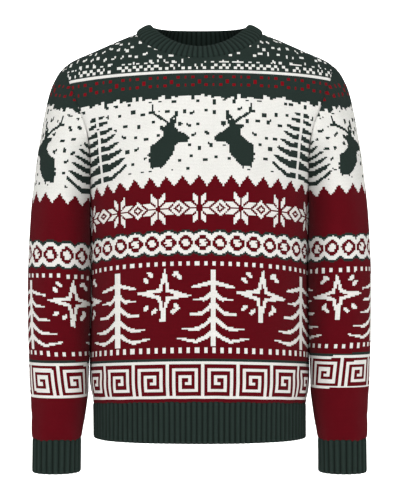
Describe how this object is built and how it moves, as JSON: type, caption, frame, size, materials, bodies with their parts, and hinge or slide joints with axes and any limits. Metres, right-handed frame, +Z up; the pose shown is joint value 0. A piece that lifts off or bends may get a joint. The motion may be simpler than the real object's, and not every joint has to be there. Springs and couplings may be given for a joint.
{
  "type": "knitted jumper",
  "caption": "Crew-neck patterned knit jumper with long sleeves, filled out as worn, with a ribbed neckband, hem and cuffs in dark green and red, green and off-white winter bands",
  "frame": {"origin": "middle of the neck hole, at the height of the shoulder points, where the wearer's neck and shoulders hold the jumper", "axes": "+Z up, -Y out of the front of the jumper, +X to the right of someone who looks at its front"},
  "size_m": [0.557, 0.236, 0.7342],
  "materials": {
    "patterned_knit": "matt wool knit, jacquard bands in dark red, dark green and off-white",
    "green_rib": "matt dark green two-by-two rib knit"
  },
  "bodies": {
    "root": {"front_panel": "patterned_knit", "back_panel": "patterned_knit", "sleeve_left": "patterned_knit", "sleeve_right": "patterned_knit", "neckband": "green_rib", "hem_rib_front": "green_rib", "hem_rib_back": "green_rib", "cuff_left": "green_rib", "cuff_right": "green_rib"}
  },
  "joints": []
}
